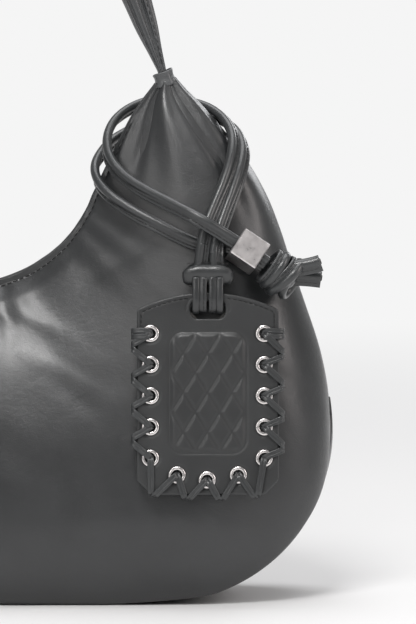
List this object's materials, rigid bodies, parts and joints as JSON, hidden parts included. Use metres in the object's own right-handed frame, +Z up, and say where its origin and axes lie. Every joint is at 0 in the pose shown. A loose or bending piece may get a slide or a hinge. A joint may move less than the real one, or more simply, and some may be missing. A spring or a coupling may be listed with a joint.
{
  "type": "hobo bag",
  "caption": "Crescent-shaped leather shoulder bag with a zipped concave mouth, an arched strap between two gathered horns and a laced hang tag on a doubled cord.",
  "frame": {"origin": "centre of the flat base, on the surface that the bag stands on", "axes": "+Z up, +X along the bag's width towards the horn that carries the cord and tag, front faces -Y"},
  "size_m": [0.4144, 0.1236, 0.4876],
  "materials": {
    "shell_leather": "dark slate waxy leather, semi-gloss",
    "strap_leather": "dark slate leather, folded",
    "cord_leather": "piped and stitched leather cord",
    "tag_leather": "dark slate leather with a raised motif",
    "lace_leather": "flat leather lace",
    "lining_fabric": "fine twill lining",
    "tape_fabric": "woven zip tape",
    "nickel": "polished nickel plate",
    "board": "stiffening board",
    "filler": "spun filler cord"
  },
  "bodies": {
    "root": {"front_panel": "shell_leather", "back_panel": "shell_leather", "bottom_gusset": "shell_leather", "mouth_facing_front": "shell_leather", "mouth_facing_back": "shell_leather", "front_lining": "lining_fabric", "back_lining": "lining_fabric", "base_lining": "lining_fabric", "inner_pocket": "lining_fabric", "base_board": "board", "zip_tape_front": "tape_fabric", "zip_tape_back": "tape_fabric", "zip_teeth_front": "nickel", "zip_teeth_back": "nickel", "zip_stops": "nickel", "horn_collar_right": "shell_leather", "horn_collar_left": "shell_leather", "cord_strand_inner": "cord_leather", "cord_strand_outer": "cord_leather", "cord_knot": "cord_leather", "cord_tails": "cord_leather"},
    "slider": {"zip_slider": "nickel"},
    "puller": {"zip_puller": "nickel"},
    "strap": {"strap_leather": "strap_leather", "strap_filler": "filler"},
    "bead": {"cube_bead": "nickel"},
    "hitch": {"hitch_crossbar": "cord_leather", "hitch_legs": "cord_leather"},
    "tag": {"tag_front": "tag_leather", "tag_board": "board", "tag_back": "tag_leather", "tag_eyelets": "nickel", "tag_lace": "lace_leather"}
  },
  "joints": [
    {"name": "strap_fold", "type": "hinge", "parent": "root", "child": "strap", "pos_m": [0, 0, 0.29563], "axis": [1, 0, 0], "range_deg": [-95, 95]},
    {"name": "zip_slide", "type": "hinge", "parent": "root", "child": "slider", "pos_m": [0, 0, 0.252], "axis": [0, -1, 0], "range_deg": [-39, 85], "deforming": ["zip_teeth_front", "zip_teeth_back", "zip_tape_front", "zip_tape_back"]},
    {"name": "zip_puller", "type": "hinge", "parent": "slider", "child": "puller", "pos_m": [-0.0331, 0, 0.18414], "axis": [0, -1, 0], "range_deg": [0, 140]},
    {"name": "charm_sway", "type": "hinge", "parent": "root", "child": "hitch", "pos_m": [0.1374, -0.04455, 0.18411], "axis": [0, 0.9903, -0.1392], "range_deg": [-7, 12]},
    {"name": "tag_flip", "type": "hinge", "parent": "hitch", "child": "tag", "pos_m": [0.1374, -0.0465, 0.17025], "axis": [-1, 0, 0], "range_deg": [0, 85]},
    {"name": "bead_slide", "type": "slide", "parent": "root", "child": "bead", "axis": [0.8291, 0, -0.5591], "range_m": [0, 0.003]}
  ]
}
